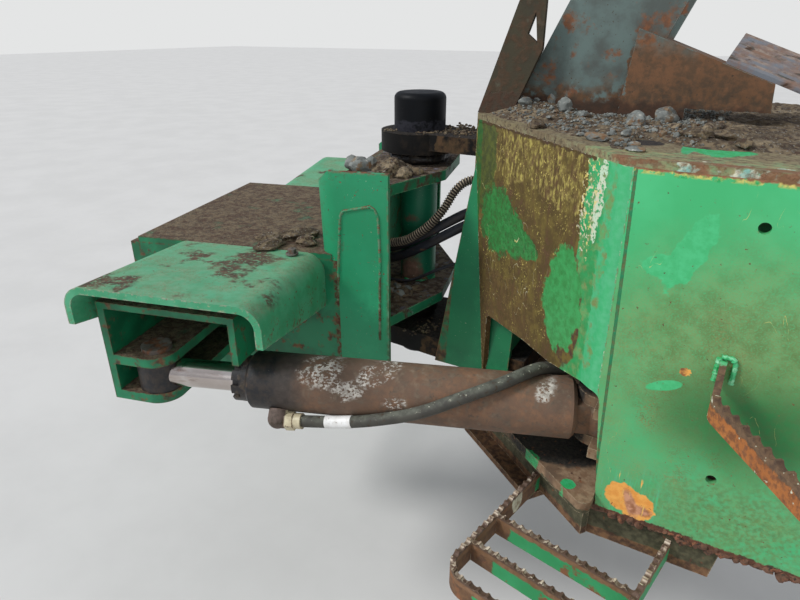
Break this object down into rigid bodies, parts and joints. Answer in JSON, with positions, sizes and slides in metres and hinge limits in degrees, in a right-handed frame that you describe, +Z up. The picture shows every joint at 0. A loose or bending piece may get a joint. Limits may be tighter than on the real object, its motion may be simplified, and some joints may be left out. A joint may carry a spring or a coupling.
{
  "type": "steering articulation section of a site dumper",
  "caption": "Centre section of an articulated site dumper: rear frame nose and front pivot head hinged on a vertical pin, with a steering ram between them.",
  "frame": {"origin": "on the back face of the rear frame's bulkhead, on the centre line and midway between the top and bottom of the frame; the section is held there", "axes": "+X forward along the rear frame, +Y to the machine's left, +Z up"},
  "size_m": [1.4038, 1.1336, 0.801],
  "materials": {
    "green_paint": "worn gloss paint with rust and dried mud",
    "grey_paint": "worn blue-grey paint with brown rust",
    "dark_steel": "greasy dark steel with rust",
    "bare_steel": "dull plated steel, dirty",
    "black_rubber": "dusty black rubber",
    "rusty_steel": "rusty worn steel with paint left",
    "rusty_barrel": "matt brown rusty barrel with pale flaking paint",
    "rod_chrome": "ground chrome rod"
  },
  "bodies": {
    "rear_frame": {"frame_bulkhead": "green_paint", "side_panel_left": "green_paint", "side_panel_right": "green_paint", "nose_plate_left": "green_paint", "nose_plate_right": "green_paint", "frame_deck": "green_paint", "frame_bottom": "green_paint", "nose_cap": "green_paint", "spine_left": "green_paint", "spine_right": "green_paint", "spine_diaphragm": "green_paint", "rear_hose_unions": "bare_steel", "tail_hose_union": "bare_steel", "loom_conduit": "black_rubber", "front_hose_lower": "black_rubber", "front_hose_upper": "black_rubber", "thin_cable": "black_rubber", "skirt_left": "green_paint", "skirt_right": "green_paint", "upper_ear": "dark_steel", "lower_ear": "dark_steel", "pivot_pin": "bare_steel", "top_cap": "black_rubber", "lower_cap": "black_rubber", "thrust_ring": "dark_steel", "ram_tail_bracket": "green_paint", "ram_tail_pin": "bare_steel", "upper_step": "rusty_steel", "lower_step": "rusty_steel", "step_hanger": "green_paint", "console_foot": "grey_paint", "deck_bracket": "grey_paint", "pedal_pad": "grey_paint", "deck_strut": "rusty_steel"},
    "front_frame": {"head_plate_upper": "green_paint", "head_plate_lower": "green_paint", "pivot_tube": "green_paint", "bearing_housing": "dark_steel", "head_back": "green_paint", "head_hose_unions": "bare_steel", "column_left": "green_paint", "column_right": "green_paint", "chassis_side_left": "green_paint", "chassis_side_right": "green_paint", "chassis_deck": "green_paint", "chassis_end_plate": "green_paint", "outrigger_left": "green_paint", "outrigger_right": "green_paint", "ram_bracket": "green_paint", "rod_pin_ends": "bare_steel"},
    "ram_barrel": {"ram_tube": "rusty_barrel", "ram_gland": "dark_steel", "ram_port": "bare_steel", "ram_hose": "black_rubber"},
    "ram_rod": {"ram_rod": "rod_chrome", "rod_eye": "rusty_barrel", "rod_pin_middle": "bare_steel"}
  },
  "joints": [
    {"name": "steer", "type": "hinge", "parent": "rear_frame", "child": "front_frame", "pos_m": [0.8, 0, 0.03], "axis": [0, 0, 1], "range_deg": [-40, 10], "deforming": ["loom_conduit", "front_hose_lower", "front_hose_upper", "thin_cable"]},
    {"name": "ram_tail_turn", "type": "hinge", "parent": "rear_frame", "child": "ram_barrel", "pos_m": [0.317, 0.2754, -0.144], "axis": [0, 0, 1], "range_deg": [-21.2, 5.4], "deforming": ["ram_hose"]},
    {"name": "ram_stroke", "type": "slide", "parent": "ram_barrel", "child": "ram_rod", "axis": [0.9361, 0.3516, 0], "range_m": [-0.066, 0.261]}
  ],
  "couplings": [
    {"joint": "ram_tail_turn", "follows": "steer", "ratio": 0.527},
    {"joint": "ram_stroke", "follows": "steer", "m_per_rad": -0.37242}
  ]
}
